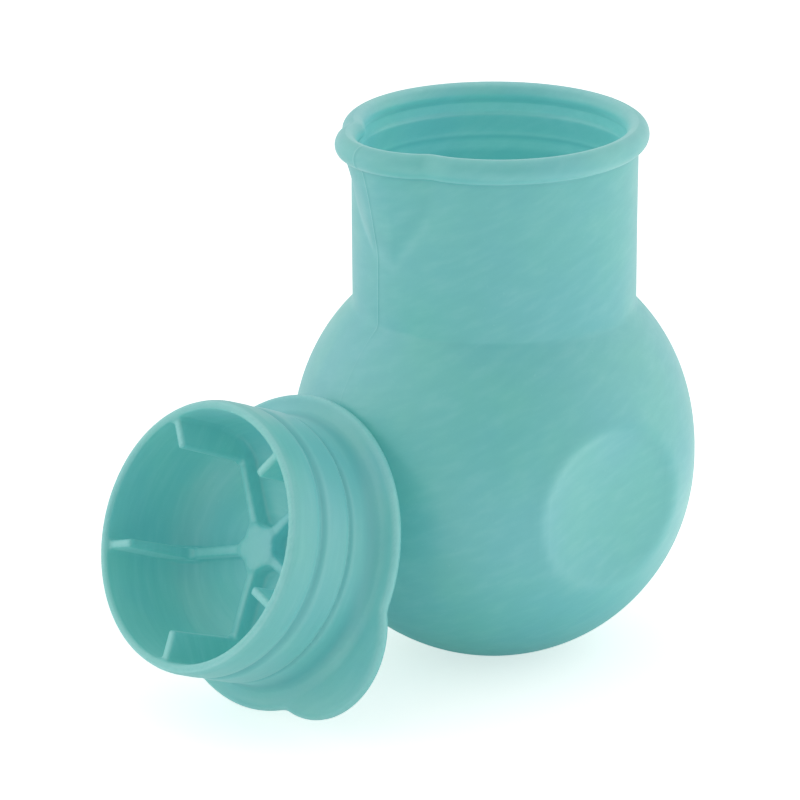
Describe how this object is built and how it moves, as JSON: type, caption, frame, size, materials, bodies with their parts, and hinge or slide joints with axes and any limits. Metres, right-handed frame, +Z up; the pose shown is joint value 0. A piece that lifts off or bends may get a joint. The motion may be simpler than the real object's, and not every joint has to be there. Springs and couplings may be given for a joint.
{
  "type": "paw washer cup",
  "caption": "Round squeezable silicone washing cup with a wide straight neck, rolled rim with pouring lip, thumb dimples, and a loose banded plug lid with a pull tab.",
  "frame": {"origin": "centre of the cup's flat foot, on the table", "axes": "+Z up along the neck's axis; the pouring lip is at 212.3 degrees from +X about +Z, the dimples at 306.9 and 126.9 degrees, and the loose lid leans on the bulb at 215 degrees with its plug pointing away from the cup at 222.9 degrees, 22.6 degrees above level"},
  "size_m": [0.1459, 0.1304, 0.1347],
  "materials": {
    "cup_silicone": "soft matte teal silicone",
    "lid_silicone": "soft matte teal silicone"
  },
  "bodies": {
    "cup": {"cup_body": "cup_silicone"},
    "lid_body": {"lid": "lid_silicone"}
  },
  "joints": [
    {"name": "lid_lift", "type": "slide", "parent": "cup", "child": "lid_body", "axis": [0, 0, 1], "range_m": [0, 0.14]}
  ]
}
